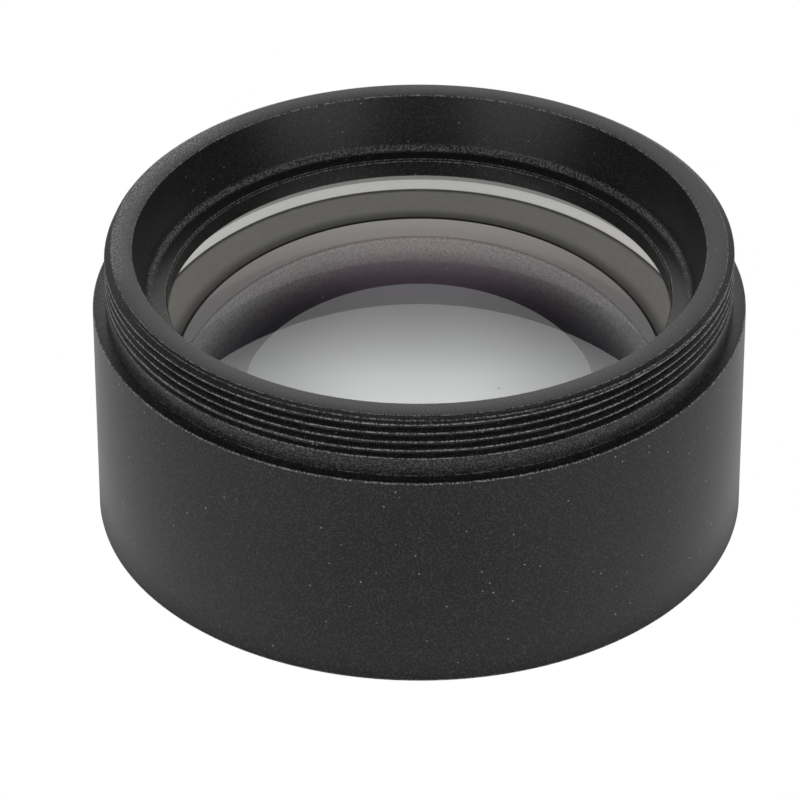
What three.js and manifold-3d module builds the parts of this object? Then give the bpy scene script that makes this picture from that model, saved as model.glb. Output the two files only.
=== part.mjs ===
// Screw-in auxiliary lens for a telescope eyepiece or camera adapter: a low black barrel with an
// M48 x 0.75 filter thread, a thick cemented pair of glass elements, and the two rings that hold
// them from below. Millimetres, +Z along the optical axis towards the threaded end, origin at the
// middle of the base.
import * as THREE from "three";
import * as BufferGeometryUtils from "three/addons/utils/BufferGeometryUtils.js";
import Module from "manifold-3d";

const wasm = await Module();
wasm.setup();

// Driving dimensions.
const bodyRadius = 25.0;
const shoulderHeight = 18.0;
const totalHeight = 23.0;
const edgeBreak = 0.12;

const threadRadius = 24.0;
const threadPitch = 0.75;
const threadFlankAngle = Math.PI / 6;
const threadBottom = 19.85;
const threadPhaseAngle = -Math.PI / 2;
const threadRunOutTurn = 0.4;
const rimOuterRadius = 23.48;
const rimChamferHeight = 0.3;

const rimInnerRadius = 21.87;
const recessFloorRadius = 20.85;
const recessFloor = 18.6;
const lipRadius = 19.25;
const lipUnderside = 17.3;

const lensRadius = 20.0;
const lensTopApex = 20.02;
const lensTopCurve = 64.0;
const lensTopBevel = 0.15;
const cementEdge = 7.7;
const cementGap = 0.05;
const cementCurve = 80.0;
const lensRearApex = 5.03;
const lensRearCurve = 316.0;
const lensRearRadius = 16.8;
const lensRearEdgeHeight = 0.3;

const cellRadius = 20.3;
const ringBoreRadius = 17.0;
const ringGap = 0.3;
const retainingRadius = 21.0;
const retainingBottom = 0.3;
const retainingTop = 2.45;
const retainingThreadTop = 2.9;
const ringEdgeBreak = 0.25;
const pressureRadius = 20.0;
const slotWidth = 2.0;
const slotDepth = 1.1;

const aroundSegments = 60;
const curveSteps = 7;

// Height of a lens face at a radius. A positive curve has its highest point on the axis.
function faceHeight(apex, curve, radius) {
  return apex - curve + Math.sqrt(curve * curve - radius * radius);
}

// Points along a lens face from one radius to another, as [radius, height] pairs.
function facePoints(apex, curve, fromRadius, toRadius) {
  const points = [];
  for (let step = 0; step <= curveSteps; step += 1) {
    const radius = fromRadius + ((toRadius - fromRadius) * step) / curveSteps;
    points.push([radius, faceHeight(apex, curve, radius)]);
  }
  return points;
}

// Turns a list of [radius, height] pairs about Z. The list runs with the solid on its left,
// seen with the axis on the left and Z up, so faces point outwards.
function turned(pairs) {
  const profile = pairs.map(([radius, height]) => new THREE.Vector2(radius, height));
  const geometry = new THREE.LatheGeometry(profile, aroundSegments);
  geometry.rotateX(Math.PI / 2);
  return geometry;
}

function solidOf(geometry) {
  const bare = geometry.clone();
  bare.deleteAttribute("normal");
  bare.deleteAttribute("uv");
  const merged = BufferGeometryUtils.mergeVertices(bare, 1e-4);
  const vertProperties = new Float32Array(merged.attributes.position.array);
  const triVerts = new Uint32Array(merged.index.array);
  return new wasm.Manifold(new wasm.Mesh({ numProp: 3, vertProperties, triVerts }));
}

function geometryOf(solid) {
  const mesh = solid.getMesh();
  const geometry = new THREE.BufferGeometry();
  geometry.setAttribute("position", new THREE.BufferAttribute(mesh.vertProperties, 3));
  geometry.setIndex(new THREE.BufferAttribute(mesh.triVerts, 1));
  geometry.computeVertexNormals();
  return geometry;
}

// The groove that a thread tool leaves: a 60 degree form wound up from the run-out to past the
// rim. It fades in over the run-out, so the thread starts without a step.
function threadGroove() {
  const crestHalf = threadPitch * 0.4375;
  const rootHalf = threadPitch * 0.125;
  const depth = (crestHalf - rootHalf) / Math.tan(threadFlankAngle);
  const proud = 0.02;
  const outerHalf = crestHalf + proud * Math.tan(threadFlankAngle);
  const turns = (totalHeight - threadBottom) / threadPitch + 1;
  const steps = Math.round(turns * aroundSegments);
  const positions = [];
  for (let step = 0; step <= steps; step += 1) {
    const turn = (turns * step) / steps;
    const angle = threadPhaseAngle + 2 * Math.PI * (turn - threadRunOutTurn);
    const height = threadBottom + threadPitch * (turn - threadRunOutTurn);
    const cut = depth * Math.min(1, 0.02 + turn / threadRunOutTurn);
    const half = outerHalf - (proud + cut) * Math.tan(threadFlankAngle);
    const ring = [
      [threadRadius + proud, -outerHalf],
      [threadRadius + proud, outerHalf],
      [threadRadius - cut, half],
      [threadRadius - cut, -half],
    ];
    for (const [radius, lift] of ring) {
      positions.push(radius * Math.cos(angle), radius * Math.sin(angle), height + lift);
    }
  }
  const index = [0, 1, 2, 0, 2, 3];
  for (let step = 0; step < steps; step += 1) {
    for (let side = 0; side < 4; side += 1) {
      const here = step * 4 + side;
      const next = step * 4 + ((side + 1) % 4);
      index.push(here, here + 4, next + 4, here, next + 4, next);
    }
  }
  const last = steps * 4;
  index.push(last, last + 2, last + 1, last, last + 3, last + 2);
  const geometry = new THREE.BufferGeometry();
  geometry.setAttribute("position", new THREE.Float32BufferAttribute(positions, 3));
  geometry.setIndex(index);
  return geometry;
}

// Body, threaded spigot, eyepiece-side recess, lip over the glass, glass cell and the wider
// bore for the retaining ring.
function barrelGeometry() {
  const profile = [
    [retainingRadius + ringGap, 0],
    [bodyRadius - edgeBreak, 0],
    [bodyRadius, edgeBreak],
    [bodyRadius, shoulderHeight - edgeBreak],
    [bodyRadius - edgeBreak, shoulderHeight],
    [threadRadius, shoulderHeight],
    [threadRadius, totalHeight - rimChamferHeight],
    [rimOuterRadius, totalHeight],
    [rimInnerRadius + edgeBreak, totalHeight],
    [rimInnerRadius, totalHeight - edgeBreak],
    [recessFloorRadius, recessFloor + edgeBreak],
    [recessFloorRadius - edgeBreak, recessFloor],
    [lipRadius + edgeBreak, recessFloor],
    [lipRadius, recessFloor - edgeBreak],
    [lipRadius, lipUnderside],
    [cellRadius, lipUnderside],
    [cellRadius, retainingThreadTop],
    [retainingRadius + ringGap, retainingThreadTop],
    [retainingRadius + ringGap, 0],
  ];
  return geometryOf(solidOf(turned(profile)).subtract(solidOf(threadGroove())));
}

// Upper glass: convex towards the eyepiece, hollow underneath where it is cemented.
function upperElementGeometry() {
  const bevelHeight = faceHeight(lensTopApex, lensTopCurve, lensRadius - lensTopBevel);
  const cementApex = cementEdge + cementCurve - Math.sqrt(cementCurve ** 2 - lensRadius ** 2);
  const profile = [
    ...facePoints(cementApex, cementCurve, 0, lensRadius),
    [lensRadius, bevelHeight - lensTopBevel],
    ...facePoints(lensTopApex, lensTopCurve, lensRadius - lensTopBevel, 0),
  ];
  return turned(profile);
}

// Lower glass: its upper face fits the cement face, its rear face is slightly hollow, and a wide
// ground bevel runs round the rear edge.
function lowerElementGeometry() {
  const cementApex = cementEdge + cementCurve - Math.sqrt(cementCurve ** 2 - lensRadius ** 2);
  const profile = [
    ...facePoints(lensRearApex, lensRearCurve, 0, lensRearRadius),
    [lensRadius, cementEdge - cementGap - lensRearEdgeHeight],
    ...facePoints(cementApex - cementGap, cementCurve, lensRadius, 0),
  ];
  return turned(profile);
}

// Loose ring that carries the glass on its conical seat, so the threaded ring does not rub it.
function pressureRingGeometry() {
  const rearEdge = faceHeight(lensRearApex, lensRearCurve, lensRearRadius);
  const bevelTop = cementEdge - cementGap - lensRearEdgeHeight;
  const seatSlope = (bevelTop - rearEdge) / (lensRadius - lensRearRadius);
  const seatHeight = (radius) => rearEdge + (radius - lensRearRadius) * seatSlope - ringGap * 1.4;
  const bottom = retainingTop + ringGap;
  const profile = [
    [ringBoreRadius, bottom],
    [pressureRadius, bottom],
    [pressureRadius, seatHeight(pressureRadius)],
    [ringBoreRadius, seatHeight(ringBoreRadius)],
    [ringBoreRadius, bottom],
  ];
  return turned(profile);
}

// Threaded ring with two slots across its underside for a pin or bar spanner.
function retainingRingGeometry() {
  const profile = [
    [ringBoreRadius + ringEdgeBreak, retainingBottom],
    [retainingRadius - ringEdgeBreak, retainingBottom],
    [retainingRadius, retainingBottom + ringEdgeBreak],
    [retainingRadius, retainingTop],
    [ringBoreRadius, retainingTop],
    [ringBoreRadius, retainingBottom + ringEdgeBreak],
    [ringBoreRadius + ringEdgeBreak, retainingBottom],
  ];
  const below = 1;
  const slot = new THREE.BoxGeometry(retainingRadius * 2 + 2, slotWidth, slotDepth + below);
  slot.translate(0, 0, retainingBottom + (slotDepth - below) / 2);
  return geometryOf(solidOf(turned(profile)).subtract(solidOf(slot)));
}

function addPiece(group, name, geometry, material) {
  const mesh = new THREE.Mesh(geometry, material);
  mesh.name = name;
  group.add(mesh);
}

const blackAnodised = new THREE.MeshStandardMaterial({
  color: 0x1c1c1e,
  roughness: 0.55,
  metalness: 0.6,
});
const glass = new THREE.MeshStandardMaterial({
  color: 0xdfe3e2,
  roughness: 0.02,
  metalness: 0,
  transparent: true,
  opacity: 0.3,
});
const plainAluminium = new THREE.MeshStandardMaterial({
  color: 0x9a9894,
  roughness: 0.4,
  metalness: 0.9,
});

const lensCell = new THREE.Group();
addPiece(lensCell, "barrel", barrelGeometry(), blackAnodised);
addPiece(lensCell, "upper_element", upperElementGeometry(), glass);
addPiece(lensCell, "lower_element", lowerElementGeometry(), glass);
addPiece(lensCell, "pressure_ring", pressureRingGeometry(), plainAluminium);
addPiece(lensCell, "retaining_ring", retainingRingGeometry(), blackAnodised);

export default lensCell;
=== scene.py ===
import math

import bmesh
import bpy
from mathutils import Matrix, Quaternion, Vector


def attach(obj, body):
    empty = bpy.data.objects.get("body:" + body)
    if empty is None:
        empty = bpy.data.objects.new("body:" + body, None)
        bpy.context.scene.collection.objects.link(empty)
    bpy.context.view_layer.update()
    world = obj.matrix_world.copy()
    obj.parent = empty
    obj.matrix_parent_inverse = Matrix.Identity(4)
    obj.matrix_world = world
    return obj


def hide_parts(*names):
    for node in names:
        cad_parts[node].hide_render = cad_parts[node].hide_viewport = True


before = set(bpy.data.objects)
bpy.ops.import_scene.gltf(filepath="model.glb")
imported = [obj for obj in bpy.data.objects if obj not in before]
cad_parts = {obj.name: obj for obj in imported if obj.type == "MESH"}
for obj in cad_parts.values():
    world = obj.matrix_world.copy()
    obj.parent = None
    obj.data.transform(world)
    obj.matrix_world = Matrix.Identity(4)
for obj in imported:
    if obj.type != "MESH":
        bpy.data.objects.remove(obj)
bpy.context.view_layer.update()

mm = 0.001
scene = bpy.context.scene
print("frame loaded:", ", ".join(sorted(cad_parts)))


# Camera: a long lens looking down on the rim.
cameraSettings = {
    "lookAt": (0, 0, 12 * mm),
    "distance": 445.42 * mm,
    "elevation": 33.56,
    "focalLength": 259.66,
    "aimLeft": 1.486 * mm,
    "aimDown": 2.845 * mm,
    "roll": -0.143,
}


def placeCamera(s):
    cameraData = bpy.data.cameras.new("camera")
    cameraData.lens = s["focalLength"]
    cameraData.sensor_width = 36
    camera = bpy.data.objects.new("camera", cameraData)
    scene.collection.objects.link(camera)
    elevation = math.radians(s["elevation"])
    lookAt = Vector(s["lookAt"])
    back = Vector((0, -math.cos(elevation), math.sin(elevation)))
    camera.location = lookAt + back * s["distance"]
    right = Vector((1, 0, 0))
    up = right.cross(-back)
    aim = lookAt - right * s["aimLeft"] - up * s["aimDown"]
    turn = (aim - camera.location).to_track_quat("-Z", "Y")
    camera.rotation_mode = "QUATERNION"
    camera.rotation_quaternion = turn @ Quaternion((0, 0, 1), math.radians(s["roll"]))
    camera.data.clip_start = 0.01
    camera.data.clip_end = 20
    scene.camera = camera


placeCamera(cameraSettings)
print("camera placed")


# Small helpers for node trees.
def addNode(tree, kind, **settings):
    node = tree.nodes.new(kind)
    for key, value in settings.items():
        setattr(node, key, value)
    return node


def plug(tree, value, socket):
    if isinstance(value, bpy.types.NodeSocket):
        tree.links.new(value, socket)
    else:
        socket.default_value = value


def sums(tree, operation, *values, clamp=False):
    node = addNode(tree, "ShaderNodeMath", operation=operation, use_clamp=clamp)
    for value, socket in zip(values, node.inputs):
        plug(tree, value, socket)
    return node.outputs[0]


def blendColours(tree, factor, first, second):
    node = addNode(tree, "ShaderNodeMix", data_type="RGBA")
    plug(tree, factor, node.inputs["Factor"])
    plug(tree, first, node.inputs[6])
    plug(tree, second, node.inputs[7])
    return node.outputs[2]


def ramp(tree, value, low, high, outLow=0.0, outHigh=1.0):
    node = addNode(tree, "ShaderNodeMapRange", interpolation_type="SMOOTHSTEP")
    plug(tree, value, node.inputs["Value"])
    plug(tree, low, node.inputs["From Min"])
    plug(tree, high, node.inputs["From Max"])
    plug(tree, outLow, node.inputs["To Min"])
    plug(tree, outHigh, node.inputs["To Max"])
    return node.outputs["Result"]


def noise(tree, vector, scale, detail=2.0, roughness=0.5):
    node = addNode(tree, "ShaderNodeTexNoise")
    plug(tree, vector, node.inputs["Vector"])
    plug(tree, scale, node.inputs["Scale"])
    node.inputs["Detail"].default_value = detail
    node.inputs["Roughness"].default_value = roughness
    return node.outputs["Fac"]


def newGroup(name, inputs, outputs):
    group = bpy.data.node_groups.new(name, "ShaderNodeTree")
    for label, default in inputs.items():
        socket = group.interface.new_socket(label, in_out="INPUT", socket_type="NodeSocketFloat")
        socket.default_value = default
    for label, kind in outputs.items():
        group.interface.new_socket(label, in_out="OUTPUT", socket_type=kind)
    start = group.nodes.new("NodeGroupInput")
    end = group.nodes.new("NodeGroupOutput")
    return group, start.outputs, end.inputs


def useGroup(tree, group, **values):
    node = addNode(tree, "ShaderNodeGroup", node_tree=group)
    for label, value in values.items():
        plug(tree, value, node.inputs[label])
    return node.outputs


# Fine blasted grain, as on anodised aluminium: pits for the bump, a slight change of gloss
# and of tone, and here and there a painted glint on a grain (the sparkle mask).
def makeBlastGrain():
    group, given, result = newGroup(
        "blastGrain",
        {"Grain size": 0.16, "Sparkle": 0.5},
        {"Height": "NodeSocketFloat", "Tone": "NodeSocketFloat", "Gloss": "NodeSocketFloat",
         "Sparkle mask": "NodeSocketFloat"},
    )
    place = addNode(group, "ShaderNodeTexCoord").outputs["Object"]
    perMetre = sums(group, "DIVIDE", 1 / mm, given["Grain size"])
    fine = noise(group, place, perMetre, detail=3.0, roughness=0.6)
    coarse = noise(group, place, sums(group, "MULTIPLY", perMetre, 0.22), detail=2.0)
    pits = addNode(group, "ShaderNodeTexVoronoi", feature="F1")
    plug(group, place, pits.inputs["Vector"])
    plug(group, sums(group, "MULTIPLY", perMetre, 0.8), pits.inputs["Scale"])
    pitDepth = ramp(group, pits.outputs["Distance"], 0.1, 0.75)
    height = sums(group, "ADD", sums(group, "MULTIPLY", fine, 0.65), sums(group, "MULTIPLY", pitDepth, 0.35))
    plug(group, height, result["Height"])
    cloud = noise(group, place, 90.0, detail=3.0)
    tone = sums(group, "ADD", sums(group, "MULTIPLY", coarse, 0.5), sums(group, "MULTIPLY", cloud, 0.5))
    plug(group, tone, result["Tone"])
    plug(group, ramp(group, fine, 0.3, 0.7), result["Gloss"])
    grains = addNode(group, "ShaderNodeTexVoronoi", feature="F1")
    plug(group, place, grains.inputs["Vector"])
    plug(group, sums(group, "MULTIPLY", perMetre, 0.45), grains.inputs["Scale"])
    chosen = addNode(group, "ShaderNodeSeparateColor")
    plug(group, grains.outputs["Color"], chosen.inputs[0])
    share = sums(group, "MULTIPLY", given["Sparkle"], 0.02)
    rare = ramp(group, chosen.outputs[0], sums(group, "SUBTRACT", 1.0, share), 1.0)
    dot = ramp(group, grains.outputs["Distance"], 0.16, 0.3, 1.0, 0.0)
    plug(group, sums(group, "MULTIPLY", rare, dot), result["Sparkle mask"])
    return group


# Marks left by a lathe tool: fine rings that follow height on a wall and radius on a face.
def makeTurningLines():
    group, given, result = newGroup(
        "turningLines", {"Line spacing": 0.12, "Wobble": 0.1}, {"Lines": "NodeSocketFloat"}
    )
    place = addNode(group, "ShaderNodeTexCoord").outputs["Object"]
    parts = addNode(group, "ShaderNodeSeparateXYZ")
    plug(group, place, parts.inputs[0])
    nearSideShade = sums(group, "MULTIPLY", parts.outputs["X"], parts.outputs["X"])
    along = sums(group, "MULTIPLY", parts.outputs["Y"], parts.outputs["Y"])
    radius = sums(group, "SQRT", sums(group, "ADD", nearSideShade, along))
    drift = noise(group, place, 60.0)
    shift = sums(group, "MULTIPLY", drift, sums(group, "MULTIPLY", given["Wobble"], mm))
    flat = addNode(group, "ShaderNodeCombineXYZ")
    plug(group, sums(group, "ADD", radius, shift), flat.inputs["X"])
    plug(group, sums(group, "ADD", parts.outputs["Z"], shift), flat.inputs["Z"])
    perMetre = sums(group, "DIVIDE", 1 / mm, given["Line spacing"])
    plug(group, noise(group, flat.outputs[0], perMetre, detail=2.0, roughness=0.7), result["Lines"])
    return group


# Dust and lint: sparse pale specks of several sizes.
def makeDust():
    group, given, result = newGroup(
        "dustSpecks", {"Spacing": 2.2, "Share": 0.3, "Size": 0.06}, {"Mask": "NodeSocketFloat"}
    )
    place = addNode(group, "ShaderNodeTexCoord").outputs["Object"]
    cells = addNode(group, "ShaderNodeTexVoronoi", feature="F1")
    plug(group, place, cells.inputs["Vector"])
    plug(group, sums(group, "DIVIDE", 1 / mm, given["Spacing"]), cells.inputs["Scale"])
    pick = addNode(group, "ShaderNodeSeparateColor")
    plug(group, cells.outputs["Color"], pick.inputs[0])
    chosen = sums(group, "LESS_THAN", pick.outputs[0], given["Share"])
    size = sums(group, "MULTIPLY", given["Size"], sums(group, "ADD", 0.4, pick.outputs[1]))
    limit = sums(group, "DIVIDE", size, given["Spacing"])
    dot = sums(group, "LESS_THAN", cells.outputs["Distance"], limit)
    plug(group, sums(group, "MULTIPLY", chosen, dot), result["Mask"])
    return group


blastGrain = makeBlastGrain()
turningLines = makeTurningLines()
dustSpecks = makeDust()


def newMaterial(name):
    material = bpy.data.materials.new(name)
    material.use_nodes = True
    tree = material.node_tree
    shader = tree.nodes["Principled BSDF"]
    return material, tree, shader


def addBump(tree, shader, height, distance):
    bump = addNode(tree, "ShaderNodeBump")
    bump.inputs["Strength"].default_value = 1.0
    bump.inputs["Distance"].default_value = distance
    plug(tree, height, bump.inputs["Height"])
    plug(tree, bump.outputs["Normal"], shader.inputs["Normal"])


anodised = {
    "colour": (0.0082, 0.0077, 0.0086, 1),
    "colourLight": (0.0140, 0.0133, 0.0144, 1),
    # the rubbed and worn colours also paint the glints, and on the retaining ring a highlight
    "rubbedAndHighlightColour": (0.075, 0.075, 0.077, 1),
    "wornGlintAndHighlightColour": (0.42, 0.42, 0.415, 1),
    "dustColour": (0.34, 0.34, 0.33, 1),
    "cloud": (0.6, 1.0),
    "sparkle": 1.3,
    "specular": 0.46,
    "rubbedAndHighlight": 0.7,
    "roughness": (0.31, 0.34),
    "chipsAndHighlightGrain": (0.50, 0.66),
    "fleck": (0.38, 0.58),
    "glint": (0.60, 0.70),
    "glintShare": 0.075,
    "grainSize": 0.13,
    "grainDepth": 0.0036 * mm,
}


# Black anodised metal. The wear attribute says where edges are rubbed towards bare metal; on the
# retaining ring it carries a painted highlight instead. Glint and sparkle are painted glints.
def makeAnodised(name, s, lines=0.0):
    material, tree, shader = newMaterial(name)
    grain = useGroup(tree, blastGrain, **{"Grain size": s["grainSize"], "Sparkle": s["sparkle"]})
    fleck = ramp(tree, grain["Height"], *s["fleck"])
    tone = sums(tree, "MULTIPLY", ramp(tree, grain["Tone"], 0.2, 0.8, *s["cloud"]), fleck)
    colour = blendColours(tree, tone, s["colour"], s["colourLight"])
    # painted glints: the grain tops are blended towards the bare metal colour
    glint = sums(tree, "MULTIPLY", ramp(tree, grain["Height"], *s["glint"]), s["glintShare"])
    colour = blendColours(tree, glint, colour, s["wornGlintAndHighlightColour"])
    # the wear attribute and the worn mask also carry the painted highlight of the retaining ring
    wearAndHighlight = addNode(tree, "ShaderNodeAttribute", attribute_name="wearAndHighlight").outputs["Fac"]
    chipsAndHighlightGrain = ramp(tree, grain["Height"], *s["chipsAndHighlightGrain"])
    wornAndHighlight = sums(tree, "MULTIPLY", wearAndHighlight, chipsAndHighlightGrain)
    colour = blendColours(tree, sums(tree, "MULTIPLY", wearAndHighlight, s["rubbedAndHighlight"]), colour, s["rubbedAndHighlightColour"])
    colour = blendColours(tree, wornAndHighlight, colour, s["wornGlintAndHighlightColour"])
    dust = useGroup(tree, dustSpecks)["Mask"]
    colour = blendColours(tree, dust, colour, s["dustColour"])
    # painted glints on rare grains
    colour = blendColours(tree, grain["Sparkle mask"], colour, s["wornGlintAndHighlightColour"])
    plug(tree, colour, shader.inputs["Base Color"])
    low, high = s["roughness"]
    rough = ramp(tree, grain["Gloss"], 0.0, 1.0, low, high)
    plug(tree, rough, shader.inputs["Roughness"])
    shader.inputs["Specular IOR Level"].default_value = s["specular"]
    height = grain["Height"]
    if lines:
        marks = useGroup(tree, turningLines)["Lines"]
        height = sums(tree, "ADD", height, sums(tree, "MULTIPLY", marks, lines))
    addBump(tree, shader, height, s["grainDepth"])
    return material


# The retaining ring carries a painted highlight, pale round the top of its bore.
ringAnodisedHighlight = dict(
    anodised,
    # painted highlight colours: near white where the level runs high
    rubbedAndHighlightColour=(0.6, 0.595, 0.59, 1),
    wornGlintAndHighlightColour=(1, 1, 1, 1),
    glintShare=0.0,
    chipsAndHighlightGrain=(0.0, 0.8),
    roughness=(0.5, 0.6),
    grainSize=0.1,
    grainDepth=0.0012 * mm,
)

blackAnodised = makeAnodised("black_anodised", anodised)
retainingBlack = makeAnodised("retaining_black", ringAnodisedHighlight, lines=0.5)


bareRing = {
    "colour": (0.63, 0.635, 0.625, 1),
    "colourDark": (0.54, 0.545, 0.535, 1),
    "edgeColour": (0.95, 0.945, 0.94, 1),
    "roughness": (0.32, 0.44),
    "metallic": 0.85,
    "lineSpacing": 0.09,
    "lineDepth": 0.002 * mm,
}


def makeBareRing(s):
    material, tree, shader = newMaterial("plain_ring")
    marks = useGroup(tree, turningLines, **{"Line spacing": s["lineSpacing"]})["Lines"]
    colour = blendColours(tree, marks, s["colourDark"], s["colour"])
    wearAndHighlight = addNode(tree, "ShaderNodeAttribute", attribute_name="wearAndHighlight").outputs["Fac"]
    plug(tree, blendColours(tree, wearAndHighlight, colour, s["edgeColour"]), shader.inputs["Base Color"])
    plug(tree, ramp(tree, marks, 0.3, 0.7, *s["roughness"]), shader.inputs["Roughness"])
    shader.inputs["Metallic"].default_value = s["metallic"]
    addBump(tree, shader, marks, s["lineDepth"])
    return material


plainRing = makeBareRing(bareRing)


glass = {
    "index": 1.58,
    "tint": (0.985, 0.99, 0.985, 1),
    "coatThickness": 131.0,
    "coatIndex": 1.30,
    "dustColour": (0.8, 0.8, 0.8, 1),
    "dustRoughness": 0.9,
    "dust": {"Spacing": 2.4, "Share": 0.4, "Size": 0.08},
}


def makePolished(name, s, coatThickness):
    material, tree, shader = newMaterial(name)
    shader.inputs["Transmission Weight"].default_value = 1
    shader.inputs["IOR"].default_value = s["index"]
    # a clear film, about a quarter of a wave, in nanometres
    shader.inputs["Thin Film Thickness"].default_value = coatThickness
    shader.inputs["Thin Film IOR"].default_value = s["coatIndex"]
    dust = useGroup(tree, dustSpecks, **s["dust"])["Mask"]
    plug(tree, sums(tree, "MULTIPLY", dust, s["dustRoughness"]), shader.inputs["Roughness"])
    plug(tree, blendColours(tree, dust, s["tint"], s["dustColour"]), shader.inputs["Base Color"])
    return material


# The faces that are cemented together pass light straight through.
def makeCementFace():
    material, tree, shader = newMaterial("cement_face")
    shader.inputs["Transmission Weight"].default_value = 1
    shader.inputs["IOR"].default_value = 1.0
    shader.inputs["Roughness"].default_value = 0
    shader.inputs["Specular IOR Level"].default_value = 0
    shader.inputs["Base Color"].default_value = (1, 1, 1, 1)
    return material


# Finely ground edges. The glass carries light to them, here as a painted glow, so they are paler than
# what is round them; painted shade darkens them where glass meets metal and towards the near side. Heights
# are in millimetres.
groundEdge = {
    "colour": (0.86, 0.835, 0.80, 1),
    "shade": (0.80, 0.775, 0.74, 1),
    "paintedGlow": 0.45,
    "seamShade": (7.72, 7.95),
    "darkBelow": (7.75, 8.3),
    "darkAbove": (12.75, 13.0),
    "dark": 0.45,
}
groundBevel = {
    "colour": (0.60, 0.588, 0.565, 1),
    "shade": (0.52, 0.51, 0.49, 1),
    "paintedGlow": 0.04,
    "seamShade": (4.68, 4.82),
    "darkBelow": (4.8, 5.6),
    "darkAbove": (7.1, 7.35),
    "dark": 0.4,
}


groundFinishAndShade = {
    "grainSize": 0.12,
    "roughness": (0.6, 0.8),
    "grainDepth": 0.002 * mm,
    "seamShadeLevel": 0.08,
    "nearSide": (1.5 * mm, 6 * mm),
    "nearLevel": 0.4,
}


def makeGround(name, s, finishAndShade):
    material, tree, shader = newMaterial(name)
    grain = useGroup(tree, blastGrain, **{"Grain size": finishAndShade["grainSize"], "Sparkle": 0.0})
    tone = ramp(tree, grain["Tone"], 0.25, 0.75)
    colour = blendColours(tree, tone, s["shade"], s["colour"])
    parts = addNode(tree, "ShaderNodeSeparateXYZ")
    plug(tree, addNode(tree, "ShaderNodeTexCoord").outputs["Object"], parts.inputs[0])
    height = sums(tree, "DIVIDE", parts.outputs["Z"], mm)
    # painted shade: darker below and above given heights, along a thin line and towards the near side
    lit = ramp(tree, height, *s["darkBelow"], s["dark"], 1.0)
    lit = sums(tree, "MULTIPLY", lit, ramp(tree, height, *s["darkAbove"], 1.0, s["dark"]))
    lit = sums(tree, "MULTIPLY", lit, ramp(tree, height, *s["seamShade"], finishAndShade["seamShadeLevel"], 1.0))
    nearSideShade = ramp(tree, parts.outputs["Y"], *finishAndShade["nearSide"], finishAndShade["nearLevel"], 1.0)
    lit = sums(tree, "MULTIPLY", lit, nearSideShade)
    colour = blendColours(tree, lit, (0, 0, 0, 1), colour)
    plug(tree, colour, shader.inputs["Base Color"])
    # painted glow: the ground glass gives off its own colour, though it is no lamp
    plug(tree, colour, shader.inputs["Emission Color"])
    shader.inputs["Emission Strength"].default_value = s["paintedGlow"]
    plug(tree, ramp(tree, grain["Gloss"], 0, 1, *finishAndShade["roughness"]), shader.inputs["Roughness"])
    addBump(tree, shader, grain["Height"], finishAndShade["grainDepth"])
    return material


topGlass = makePolished("coated_glass", glass, glass["coatThickness"])
rearGlass = makePolished("plain_glass", glass, 0.0)
cementFace = makeCementFace()
edgeGlass = makeGround("ground_edge", groundEdge, groundFinishAndShade)
bevelGlass = makeGround("ground_bevel", groundBevel, groundFinishAndShade)
print("materials made")


# Turned pieces. An outline is a closed list of (radius, height, corner radius) in millimetres.
def softCorners(outline, steps=3):
    points = []
    count = len(outline)
    for index, (radius, height, corner) in enumerate(outline):
        here = Vector((radius, height))
        if corner == 0:
            points.append((here, 0.0))
            continue
        before = Vector(outline[index - 1][:2])
        after = Vector(outline[(index + 1) % count][:2])
        toBefore = (before - here).normalized()
        toAfter = (after - here).normalized()
        reach = min(corner, (before - here).length * 0.45, (after - here).length * 0.45)
        start = here + toBefore * reach
        end = here + toAfter * reach
        for step in range(steps + 1):
            share = step / steps
            bend = start.lerp(here, share).lerp(here.lerp(end, share), share)
            points.append((bend, 0.0 if step in (0, steps) else 1.0))
    return points


def turnPiece(name, points, columns):
    # Points are (position, level) pairs that run with the solid on their left; the level is wear, and on the
    # retaining ring a painted highlight.
    mesh = bpy.data.meshes.new(name)
    vertices, wearAndHighlight, faces = [], [], []
    rows = len(points)
    for column in range(columns):
        angle = 2 * math.pi * column / columns
        for place, wornAndHighlight in points:
            vertices.append((place.x * mm * math.cos(angle), place.x * mm * math.sin(angle), place.y * mm))
            wearAndHighlight.append(wornAndHighlight)
    for column in range(columns):
        here = column * rows
        beside = (column + 1) % columns * rows
        for row in range(rows):
            above = (row + 1) % rows
            faces.append((here + row, beside + row, beside + above, here + above))
    mesh.from_pydata(vertices, [], faces)
    layer = mesh.attributes.new("wearAndHighlight", "FLOAT", "POINT")
    layer.data.foreach_set("value", wearAndHighlight)
    shape = bmesh.new()
    shape.from_mesh(mesh)
    bmesh.ops.remove_doubles(shape, verts=shape.verts, dist=1e-7)
    bmesh.ops.dissolve_degenerate(shape, edges=shape.edges, dist=1e-8)
    bmesh.ops.recalc_face_normals(shape, faces=shape.faces)
    shape.to_mesh(mesh)
    shape.free()
    piece = bpy.data.objects.new(name, mesh)
    scene.collection.objects.link(piece)
    return piece


def finishPiece(piece, body, node, materials, sharpAngle=35):
    mesh = piece.data
    mesh.shade_smooth()
    mesh.set_sharp_from_angle(angle=math.radians(sharpAngle))
    if not mesh.materials:
        for material in materials:
            mesh.materials.append(material)
    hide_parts(node)
    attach(piece, body)
    size = len(mesh.polygons)
    print("finished", piece.name, "with", size, "faces")


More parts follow.
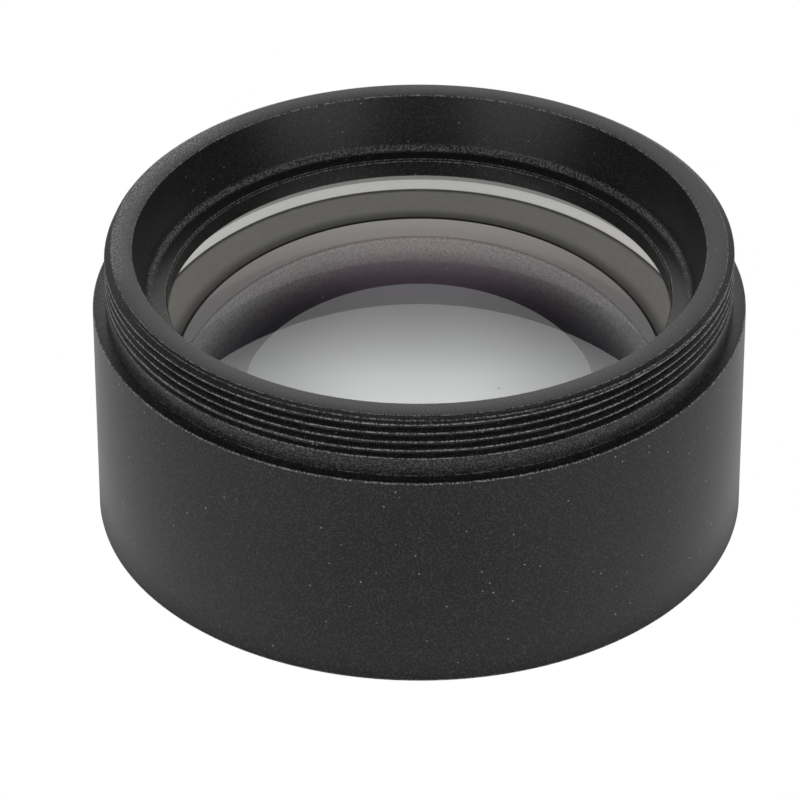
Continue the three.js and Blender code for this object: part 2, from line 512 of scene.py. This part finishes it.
def addRows(points, low, high, step, onlyBeyond=0.0):
    # Puts extra points on straight stretches between two heights, for a thread to be cut into.
    filled = []
    count = len(points)
    for index, (place, wornAndHighlight) in enumerate(points):
        filled.append((place, wornAndHighlight))
        nextPlace, nextWorn = points[(index + 1) % count]
        span = nextPlace - place
        middle = (place + nextPlace) / 2
        if middle.x < onlyBeyond or not low <= middle.y <= high:
            continue
        parts = int(span.length / step)
        for part in range(1, parts):
            share = part / parts
            between = wornAndHighlight * (1 - share) + nextWorn * share if parts < 4 else 0.0
            filled.append((place.lerp(nextPlace, share), between))
    return filled


# Geometry Nodes: cuts a helical 60 degree thread into the outside of a turned blank. Lengths are
# in metres, and a run-out of some turns lets the groove fade in.
threadInputs = [
    "Crest radius", "Pitch", "Depth", "First groove", "Start angle", "Run-out turns", "Thread ends"
]


def makeThreadTree(material):
    tree = bpy.data.node_groups.new("cutThread", "GeometryNodeTree")
    tree.interface.new_socket("Geometry", in_out="INPUT", socket_type="NodeSocketGeometry")
    for label in threadInputs:
        tree.interface.new_socket(label, in_out="INPUT", socket_type="NodeSocketFloat")
    tree.interface.new_socket("Geometry", in_out="OUTPUT", socket_type="NodeSocketGeometry")
    given = addNode(tree, "NodeGroupInput").outputs
    end = addNode(tree, "NodeGroupOutput")
    place = addNode(tree, "GeometryNodeInputPosition").outputs[0]
    parts = addNode(tree, "ShaderNodeSeparateXYZ")
    plug(tree, place, parts.inputs[0])
    x, y, z = parts.outputs
    squares = sums(tree, "ADD", sums(tree, "MULTIPLY", x, x), sums(tree, "MULTIPLY", y, y))
    radius = sums(tree, "SQRT", squares)
    angle = sums(tree, "SUBTRACT", sums(tree, "ARCTAN2", y, x), given["Start angle"])
    turnShare = sums(tree, "FRACT", sums(tree, "DIVIDE", angle, 2 * math.pi))
    climbed = sums(tree, "DIVIDE", sums(tree, "SUBTRACT", z, given["First groove"]), given["Pitch"])
    # the groove nearest to this height, counted in turns from the first one
    wholeTurns = sums(tree, "ROUND", sums(tree, "SUBTRACT", climbed, turnShare))
    groove = sums(tree, "ADD", wholeTurns, turnShare)
    turnsAway = sums(tree, "ABSOLUTE", sums(tree, "SUBTRACT", climbed, groove))
    away = sums(tree, "MULTIPLY", turnsAway, given["Pitch"])
    wound = sums(tree, "ADD", groove, given["Run-out turns"])
    started = sums(tree, "DIVIDE", wound, given["Run-out turns"], clamp=True)
    fullDepth = sums(tree, "MULTIPLY", given["Depth"], started)
    rootHalf = sums(tree, "MULTIPLY", given["Pitch"], 0.125)
    past = sums(tree, "MAXIMUM", sums(tree, "SUBTRACT", away, rootHalf), 0.0)
    flank = sums(tree, "DIVIDE", past, math.tan(math.radians(30)))
    cut = sums(tree, "MAXIMUM", sums(tree, "SUBTRACT", fullDepth, flank), 0.0)
    inside = sums(tree, "LESS_THAN", z, given["Thread ends"])
    cut = sums(tree, "MULTIPLY", cut, inside)
    threadRadius = sums(tree, "SUBTRACT", given["Crest radius"], cut)
    newRadius = sums(tree, "MINIMUM", radius, threadRadius)
    scaleBy = sums(tree, "DIVIDE", newRadius, sums(tree, "MAXIMUM", radius, 1e-6))
    moved = addNode(tree, "ShaderNodeCombineXYZ")
    plug(tree, sums(tree, "MULTIPLY", x, scaleBy), moved.inputs["X"])
    plug(tree, sums(tree, "MULTIPLY", y, scaleBy), moved.inputs["Y"])
    plug(tree, z, moved.inputs["Z"])
    # only the threaded length is cut: it is what stands close to the crest radius
    fromCrest = sums(tree, "ABSOLUTE", sums(tree, "SUBTRACT", radius, given["Crest radius"]))
    nearCrest = sums(tree, "LESS_THAN", fromCrest, 0.6 * mm)
    setPlace = addNode(tree, "GeometryNodeSetPosition")
    plug(tree, given["Geometry"], setPlace.inputs["Geometry"])
    plug(tree, nearCrest, setPlace.inputs["Selection"])
    plug(tree, moved.outputs[0], setPlace.inputs["Position"])
    # crests take the wear, the run-out less and the neck hardly any
    crestWear = ramp(tree, cut, 0.0, 0.05 * mm, 1.0, 0.0)
    onNeck = sums(tree, "MAXIMUM", sums(tree, "POWER", started, 2.0), 0.12)
    onThread = sums(tree, "MULTIPLY", nearCrest, onNeck)
    old = addNode(tree, "GeometryNodeInputNamedAttribute", data_type="FLOAT")
    old.inputs["Name"].default_value = "wearAndHighlight"
    wornAndHighlight = sums(tree, "MAXIMUM", old.outputs["Attribute"], sums(tree, "MULTIPLY", crestWear, onThread))
    store = addNode(tree, "GeometryNodeStoreNamedAttribute", data_type="FLOAT", domain="POINT")
    store.inputs["Name"].default_value = "wearAndHighlight"
    plug(tree, setPlace.outputs[0], store.inputs["Geometry"])
    plug(tree, wornAndHighlight, store.inputs["Value"])
    real = addNode(tree, "GeometryNodeRealizeInstances")
    plug(tree, store.outputs[0], real.inputs[0])
    paint = addNode(tree, "GeometryNodeSetMaterial")
    paint.inputs["Material"].default_value = material
    plug(tree, real.outputs[0], paint.inputs["Geometry"])
    plug(tree, paint.outputs[0], end.inputs[0])
    return tree


def bakeNodes(piece, tree, values):
    modifier = piece.modifiers.new("cutThread", "NODES")
    modifier.node_group = tree
    for item in tree.interface.items_tree:
        if item.in_out == "INPUT" and item.name in values:
            modifier[item.identifier] = values[item.name]
    bpy.context.view_layer.update()
    depsgraph = bpy.context.evaluated_depsgraph_get()
    made = bpy.data.meshes.new_from_object(piece.evaluated_get(depsgraph))
    piece.modifiers.remove(modifier)
    blank = piece.data
    piece.data = made
    made.name = piece.name
    bpy.data.meshes.remove(blank)


# Barrel: one turned body with the thread cut into it. Lengths are in millimetres.
barrel = {
    "bodyRadius": 25.0,
    "shoulder": 18.0,
    "top": 23.0,
    "threadRadius": 24.0,
    "rimOuter": 23.48,
    "rimInner": 21.87,
    "floorRadius": 20.85,
    "floor": 18.6,
    "lipRadius": 19.25,
    "lipUnder": 17.12,
    "cellRadius": 20.06,
    "boreRadius": 21.08,
    "boreTop": 2.9,
    "footCorner": 0.5,
    "chamferHeight": 0.3,
    "chamferWear": 0.6,
    "footWear": 0.55,
    "columns": 480,
    "threadPitch": 0.75,
    "threadDepth": 0.405,
    "firstGroove": 19.85,
    "startAngle": -math.pi / 2,
    "runOutTurns": 0.4,
    "threadEnds": 30.0,
    "threadFrom": 18.9,
    "threadRow": 0.035,
}


def makeBarrel(s):
    outline = [
        (s["boreRadius"], 0, 0.15),
        (s["bodyRadius"], 0, 0.22),
        (s["bodyRadius"], s["shoulder"], 0.14),
        (s["threadRadius"], s["shoulder"], 0.05),
        (s["threadRadius"], s["top"] - s["chamferHeight"], 0.05),
        (s["rimOuter"], s["top"], 0.05),
        (s["rimInner"], s["top"], 0.12),
        (s["floorRadius"], s["floor"], s["footCorner"]),
        (s["lipRadius"] + 0.15, s["floor"], 0.05),
        (s["lipRadius"], s["floor"] - 0.15, 0.05),
        (s["lipRadius"], s["lipUnder"], 0),
        (s["cellRadius"], s["lipUnder"], 0),
        (s["cellRadius"], s["boreTop"], 0),
        (s["boreRadius"], s["boreTop"], 0),
    ]
    points = []
    chamferFrom = s["top"] - s["chamferHeight"] - 0.01
    for place, wornAndHighlight in softCorners(outline):
        if s["rimOuter"] - 0.03 < place.x < s["threadRadius"] and place.y > chamferFrom:
            wornAndHighlight = max(wornAndHighlight, s["chamferWear"])
        elif s["lipRadius"] + 1 < place.x < s["rimInner"] and place.y < s["floor"] + 0.6:
            wornAndHighlight *= s["footWear"]
        points.append((place, wornAndHighlight))
    points = addRows(points, s["threadFrom"], s["top"], s["threadRow"], onlyBeyond=s["rimOuter"] - 0.08)
    piece = turnPiece("barrel_shell", points, s["columns"])
    thread = {
        "Crest radius": s["threadRadius"] * mm,
        "Pitch": s["threadPitch"] * mm,
        "Depth": s["threadDepth"] * mm,
        "First groove": s["firstGroove"] * mm,
        "Start angle": s["startAngle"],
        "Run-out turns": s["runOutTurns"],
        "Thread ends": s["threadEnds"] * mm,
    }
    bakeNodes(piece, makeThreadTree(blackAnodised), thread)
    finishPiece(piece, "barrel", "barrel", [blackAnodised])


makeBarrel(barrel)
print("barrel made")


# Glass: faces are parts of spheres. Heights and radii in millimetres.
lens = {
    "radius": 20.0,
    "topApex": 20.02,
    "topCurve": 64.0,
    "bevel": 0.15,
    "cementEdge": 7.7,
    "cementGap": 0.05,
    "cementCurve": 80.0,
    "rearApex": 5.03,
    "rearCurve": 316.0,
    "rearRadius": 16.8,
    "rearEdge": 0.3,
    "columns": 288,
    "faceRings": 28,
}


def faceHeight(apex, curve, radius):
    return apex - curve + math.sqrt(curve ** 2 - radius ** 2)


def facePoints(apex, curve, start, end, rings):
    points = []
    for ring in range(rings + 1):
        radius = start + (end - start) * ring / rings
        points.append((Vector((radius, faceHeight(apex, curve, radius))), 0.0))
    return points


def paintFaces(piece, choose):
    # Gives each face the material that its place and its slope ask for.
    for face in piece.data.polygons:
        radius = math.hypot(face.center.x, face.center.y) / mm
        face.material_index = choose(radius, face.normal)


def makeLens(s):
    cementApex = s["cementEdge"] + s["cementCurve"] - math.sqrt(s["cementCurve"] ** 2 - s["radius"] ** 2)
    flat = s["radius"] - s["bevel"]
    bevelTop = faceHeight(s["topApex"], s["topCurve"], flat)
    upper = facePoints(cementApex, s["cementCurve"], 0, s["radius"], s["faceRings"])
    upper.append((Vector((s["radius"], bevelTop - s["bevel"])), 0.0))
    upper += facePoints(s["topApex"], s["topCurve"], flat, 0, s["faceRings"])
    piece = turnPiece("upper_glass", upper, s["columns"])
    for material in (topGlass, cementFace, edgeGlass):
        piece.data.materials.append(material)

    def upperFinish(radius, normal):
        if radius > flat - 0.01:
            return 2
        return 0 if normal.z > 0 else 1

    paintFaces(piece, upperFinish)
    finishPiece(piece, "barrel", "upper_element", [], sharpAngle=25)

    lowApex = cementApex - s["cementGap"]
    lower = facePoints(s["rearApex"], s["rearCurve"], 0, s["rearRadius"], s["faceRings"])
    lower.append((Vector((s["radius"], s["cementEdge"] - s["cementGap"] - s["rearEdge"])), 0.0))
    lower += facePoints(lowApex, s["cementCurve"], s["radius"], 0, s["faceRings"])
    piece = turnPiece("lower_glass", lower, s["columns"])
    for material in (rearGlass, cementFace, bevelGlass):
        piece.data.materials.append(material)

    def lowerFinish(radius, normal):
        if normal.z > 0.5:
            return 1
        return 2 if radius > s["rearRadius"] else 0

    paintFaces(piece, lowerFinish)
    finishPiece(piece, "barrel", "lower_element", [], sharpAngle=25)


makeLens(lens)
print("glass made")


# Rings under the glass. Lengths are in millimetres; rubbed lists (height, level) of a painted highlight down
# the bore.
rings = {
    "bore": 17.0,
    "pressureOuter": 20.0,
    "pressureBottom": 2.72,
    "retainingOuter": 21.0,
    "retainingBottom": 0.3,
    "retainingTop": 2.6,
    "edge": 0.22,
    "highlightCorner": 0.2,
    "seatGap": 0.08,
    "slotWidth": 2.0,
    "slotDepth": 1.1,
    "rubbedAndHighlight": [(2.42, 0.7), (2.15, 0.75), (1.85, 0.6), (1.5, 0.34), (1.1, 0.14), (0.8, 0.05), (0.5, 0.0)],
    "columns": 360,
}


def makePressureRing(s, glassShape):
    rearEdge = faceHeight(glassShape["rearApex"], glassShape["rearCurve"], glassShape["rearRadius"])
    bevelTop = glassShape["cementEdge"] - glassShape["cementGap"] - glassShape["rearEdge"]
    slope = (bevelTop - rearEdge) / (glassShape["radius"] - glassShape["rearRadius"])

    def seat(radius):
        return rearEdge + (radius - glassShape["rearRadius"]) * slope - s["seatGap"]

    outline = [
        (s["bore"], s["pressureBottom"], 0.12),
        (s["pressureOuter"], s["pressureBottom"], 0.12),
        (s["pressureOuter"], seat(s["pressureOuter"]), 0.1),
        (s["bore"], seat(s["bore"]), 0.06),
    ]
    piece = turnPiece("seat_ring", softCorners(outline), s["columns"])
    finishPiece(piece, "pressure_ring", "pressure_ring", [plainRing])


def makeRetainingRing(s):
    outline = [
        (s["bore"], s["retainingBottom"], 0.06),
        (s["retainingOuter"], s["retainingBottom"], s["edge"]),
        (s["retainingOuter"], s["retainingTop"], 0.15),
        (s["bore"], s["retainingTop"], 0.16),
    ]
    points = []
    # painted highlight: the top corner of the bore gets the full level
    for place, wornAndHighlight in softCorners(outline):
        high = place.y > s["retainingTop"] - s["highlightCorner"]
        rubbedAndHighlight = high and place.x < s["bore"] + s["highlightCorner"]
        points.append((place, 1.0 if rubbedAndHighlight else 0.0))
    # painted highlight down the top of the bore, less and less on the way down
    for height, wornAndHighlight in s["rubbedAndHighlight"]:
        points.append((Vector((s["bore"], height)), wornAndHighlight))
    piece = turnPiece("threaded_ring", points, s["columns"])
    cutSlots(piece, s)
    finishPiece(piece, "retaining_ring", "retaining_ring", [retainingBlack])


def cutSlots(piece, s):
    # One bar across the underside makes both spanner slots.
    cutter = bmesh.new()
    bmesh.ops.create_cube(cutter, size=1)
    below = 1.0
    size = Vector((s["retainingOuter"] * 2 + 2, s["slotWidth"], s["slotDepth"] + below)) * mm
    bmesh.ops.scale(cutter, vec=size, verts=cutter.verts)
    middle = (s["retainingBottom"] + (s["slotDepth"] - below) / 2) * mm
    bmesh.ops.translate(cutter, vec=(0, 0, middle), verts=cutter.verts)
    block = bpy.data.meshes.new("slotCutter")
    cutter.to_mesh(block)
    cutter.free()
    tool = bpy.data.objects.new("slotCutter", block)
    scene.collection.objects.link(tool)
    cut = piece.modifiers.new("slots", "BOOLEAN")
    cut.operation = "DIFFERENCE"
    cut.object = tool
    cut.solver = "EXACT"
    bpy.context.view_layer.update()
    depsgraph = bpy.context.evaluated_depsgraph_get()
    made = bpy.data.meshes.new_from_object(piece.evaluated_get(depsgraph))
    piece.modifiers.clear()
    piece.data = made
    bpy.data.objects.remove(tool)


makePressureRing(rings, lens)
makeRetainingRing(rings)
print("rings made")


# Stage: a pale floor that glows and soft pale surroundings, with no lamps. Lengths are in metres.
stage = {
    "floorSize": 3.0,
    "floorHeight": -0.2 * mm,
    "floorColour": (0.5, 0.5, 0.5, 1),
    "glowMiddle": 0.40,
    "glowShade": 0.10,
    "shadeStarts": 9 * mm,
    "shadeFull": 15 * mm,
    "underPart": (24 * mm, 27 * mm),
    "glowNear": 0.35,
    "glowFar": 0.50,
    "darkSpot": -58 * mm,
    "darkSpotSize": (10 * mm, 42 * mm),
}


def makeFloor(s):
    mesh = bpy.data.meshes.new("floor")
    half = s["floorSize"] / 2
    around = [(-half, -half), (half, -half), (half, half), (-half, half)]
    mesh.from_pydata([(x, y, s["floorHeight"]) for x, y in around], [], [(0, 1, 2, 3)])
    floor = bpy.data.objects.new("floor", mesh)
    scene.collection.objects.link(floor)
    material, tree, shader = newMaterial("floor_paper")
    shader.inputs["Base Color"].default_value = s["floorColour"]
    shader.inputs["Roughness"].default_value = 0.9
    shader.inputs["Specular IOR Level"].default_value = 0.1
    # the table glows, with painted shade: less in the part's shade and a little less in a spot before it;
    # seen straight it is white
    parts = addNode(tree, "ShaderNodeSeparateXYZ")
    plug(tree, addNode(tree, "ShaderNodeTexCoord").outputs["Object"], parts.inputs[0])
    x, y = parts.outputs["X"], parts.outputs["Y"]

    def distance(middle):
        along = sums(tree, "SUBTRACT", y, middle)
        squares = sums(tree, "ADD", sums(tree, "MULTIPLY", x, x), sums(tree, "MULTIPLY", along, along))
        return sums(tree, "SQRT", squares)

    radius = distance(0.0)
    inside = ramp(tree, radius, s["shadeStarts"], s["shadeFull"], s["glowMiddle"], s["glowShade"])
    beyond = ramp(tree, distance(s["darkSpot"]), *s["darkSpotSize"], s["glowNear"], s["glowFar"])
    outside = ramp(tree, radius, *s["underPart"])
    under = sums(tree, "MULTIPLY", inside, sums(tree, "SUBTRACT", 1.0, outside))
    level = sums(tree, "ADD", under, sums(tree, "MULTIPLY", beyond, outside))
    shader.inputs["Emission Color"].default_value = (1, 1, 1, 1)
    plug(tree, level, shader.inputs["Emission Strength"])
    glow = addNode(tree, "ShaderNodeEmission")
    glow.inputs["Color"].default_value = (1, 1, 1, 1)
    seen = addNode(tree, "ShaderNodeLightPath").outputs["Is Camera Ray"]
    mix = addNode(tree, "ShaderNodeMixShader")
    plug(tree, seen, mix.inputs[0])
    plug(tree, shader.outputs[0], mix.inputs[1])
    plug(tree, glow.outputs[0], mix.inputs[2])
    plug(tree, mix.outputs[0], tree.nodes["Material Output"].inputs["Surface"])
    mesh.materials.append(material)


# Brightness of the room round the part by sector, as (low, middle, high). Angles in degrees, the
# sectors counted from straight behind the part, the bands up from the horizon.
surroundings = {
    "back": (0.95, 1.9, 0.55),
    "backSide": (0.4, 0.6, 0.3),
    "side": (0.12, 0.1, 0.1),
    "frontSide": (1.7, 0.12, 0.1),
    "front": (0.35, 0.12, 0.12),
    "zenith": 0.25,
    "bands": [(-30, 21, 5), (21, 36, 5), (37, 65, 4)],
    "sectors": {"backSide": (11, 75), "side": (75, 120), "frontSide": (120, 160)},
    "sectorSoft": 7,
    "backEnds": (2, 17),
    "frontStarts": (152, 168),
    "zenithStarts": (61, 69),
}


def makeWorld(s):
    world = bpy.data.worlds.new("surroundings")
    world.use_nodes = True
    scene.world = world
    tree = world.node_tree
    direction = addNode(tree, "ShaderNodeTexCoord").outputs["Generated"]
    parts = addNode(tree, "ShaderNodeSeparateXYZ")
    plug(tree, direction, parts.inputs[0])
    x, y, z = parts.outputs
    toDegrees = 180 / math.pi
    turned = sums(tree, "MULTIPLY", sums(tree, "ARCTAN2", x, y), toDegrees)
    raised = sums(tree, "MULTIPLY", sums(tree, "ARCSINE", z), toDegrees)

    def window(value, low, high, soft):
        rise = ramp(tree, value, low - soft, low + soft)
        return sums(tree, "SUBTRACT", rise, ramp(tree, value, high - soft, high + soft))

    bands = [window(raised, *band) for band in s["bands"]]
    total = sums(tree, "MULTIPLY", ramp(tree, raised, *s["zenithStarts"]), s["zenith"])
    masks = {}
    away = sums(tree, "ABSOLUTE", turned)
    for name, (low, high) in s["sectors"].items():
        masks[name] = window(away, low, high, s["sectorSoft"])
    masks["back"] = ramp(tree, away, *s["backEnds"], 1.0, 0.0)
    masks["front"] = ramp(tree, away, *s["frontStarts"], 0.0, 1.0)
    for name, mask in masks.items():
        for band, level in zip(bands, s[name]):
            part = sums(tree, "MULTIPLY", sums(tree, "MULTIPLY", mask, band), level)
            total = sums(tree, "ADD", total, part)
    lightPath = addNode(tree, "ShaderNodeLightPath").outputs["Is Camera Ray"]
    shown = addNode(tree, "ShaderNodeMix", data_type="FLOAT")
    plug(tree, lightPath, shown.inputs[0])
    plug(tree, total, shown.inputs[2])
    plug(tree, 1.0, shown.inputs[3])
    plug(tree, shown.outputs[0], tree.nodes["Background"].inputs["Strength"])
    tree.nodes["Background"].inputs["Color"].default_value = (1, 1, 1, 1)


makeFloor(stage)
makeWorld(surroundings)
scene.view_settings.view_transform = "Standard"
scene.view_settings.look = "None"
scene.cycles.max_bounces = 24
scene.cycles.transmission_bounces = 16
scene.cycles.glossy_bounces = 8
print("stage lit")
